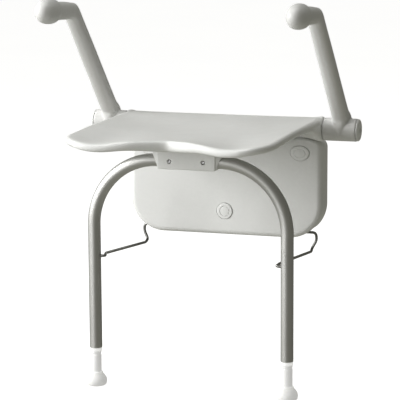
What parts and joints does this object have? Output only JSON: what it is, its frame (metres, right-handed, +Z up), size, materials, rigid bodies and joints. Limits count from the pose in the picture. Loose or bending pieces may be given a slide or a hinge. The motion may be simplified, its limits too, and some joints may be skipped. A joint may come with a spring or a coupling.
{
  "type": "shower chair",
  "caption": "Folding shower seat on a wall unit, with a dished plastic seat, hinged arms and linked support legs with adjustable feet.",
  "frame": {"origin": "centre of the wall bracket's flat back face, on the wall plane", "axes": "+Y into the wall, -Y towards the front of the seat, +X to the right seen from the front, +Z up"},
  "size_m": [0.5658, 0.4519, 0.7775],
  "materials": {
    "seat_plastic": "fine moulded texture, satin",
    "arm_plastic": "fine moulded texture, satin",
    "cover_plastic": "fine moulded texture, satin",
    "bush_plastic": "smooth bearing plastic",
    "leg_tube": "satin anodised",
    "stay_steel": "drawn stainless wire",
    "axle_steel": "turned stainless",
    "plated_steel": "zinc plated",
    "white_plastic": "smooth moulded, satin",
    "foot_rubber": "white rubber, matt"
  },
  "bodies": {
    "wall": {"wall_bracket": "plated_steel", "wall_cover": "cover_plastic", "screw_cap_upper_left": "cover_plastic", "screw_cap_upper_right": "cover_plastic", "screw_cap_lower": "cover_plastic", "wall_screw_upper_left": "plated_steel", "wall_screw_upper_right": "plated_steel", "wall_screw_lower": "plated_steel", "hinge_axle": "axle_steel", "arm_stop_ring_left": "plated_steel", "arm_stop_ring_right": "plated_steel", "axle_screw_left": "plated_steel", "axle_screw_right": "plated_steel"},
    "seat": {"seat": "seat_plastic", "seat_bush_left": "bush_plastic", "seat_bush_right": "bush_plastic", "leg_bracket": "seat_plastic", "bracket_keeper": "seat_plastic", "set_screw_left": "axle_steel", "set_screw_right": "axle_steel", "keeper_screw_left": "plated_steel", "keeper_screw_right": "plated_steel", "seat_screw_left": "plated_steel", "seat_screw_right": "plated_steel", "pivot_bush_left": "bush_plastic", "pivot_bush_right": "bush_plastic"},
    "arm_left": {"arm_left": "arm_plastic", "arm_bush_left": "bush_plastic", "hub_end_cap_left": "arm_plastic"},
    "arm_right": {"arm_right": "arm_plastic", "arm_bush_right": "bush_plastic", "hub_end_cap_right": "arm_plastic"},
    "legs": {"leg_frame": "leg_tube", "tube_end_ring_left": "white_plastic", "tube_end_ring_right": "white_plastic"},
    "foot_left": {"foot_stem_left": "white_plastic", "foot_tip_left": "foot_rubber"},
    "foot_right": {"foot_stem_right": "white_plastic", "foot_tip_right": "foot_rubber"},
    "stay": {"stay_wire": "stay_steel"}
  },
  "joints": [
    {"name": "seat_fold", "type": "hinge", "parent": "wall", "child": "seat", "pos_m": [0, -0.048, 0.114], "axis": [-1, 0, 0], "range_deg": [0, 90]},
    {"name": "arm_left_fold", "type": "hinge", "parent": "wall", "child": "arm_left", "pos_m": [0, -0.048, 0.114], "axis": [-1, 0, 0], "range_deg": [0, 43]},
    {"name": "arm_right_fold", "type": "hinge", "parent": "wall", "child": "arm_right", "pos_m": [0, -0.048, 0.114], "axis": [-1, 0, 0], "range_deg": [0, 43]},
    {"name": "leg_fold", "type": "hinge", "parent": "seat", "child": "legs", "pos_m": [0, -0.28, 0.075], "axis": [1, 0, 0], "range_deg": [0, 90]},
    {"name": "stay_swing", "type": "hinge", "parent": "legs", "child": "stay", "pos_m": [0, -0.28, -0.1216], "axis": [-1, 0, 0], "range_deg": [0, 78.7]},
    {"name": "foot_left_height", "type": "slide", "parent": "legs", "child": "foot_left", "axis": [0, 0, 1], "range_m": [-0.08, 0.04]},
    {"name": "foot_right_height", "type": "slide", "parent": "legs", "child": "foot_right", "axis": [0, 0, 1], "range_m": [-0.08, 0.04]}
  ],
  "couplings": [
    {"joint": "leg_fold", "follows": "seat_fold", "ratio": 1},
    {"joint": "stay_swing", "follows": "seat_fold", "ratio": 0.8736}
  ]
}
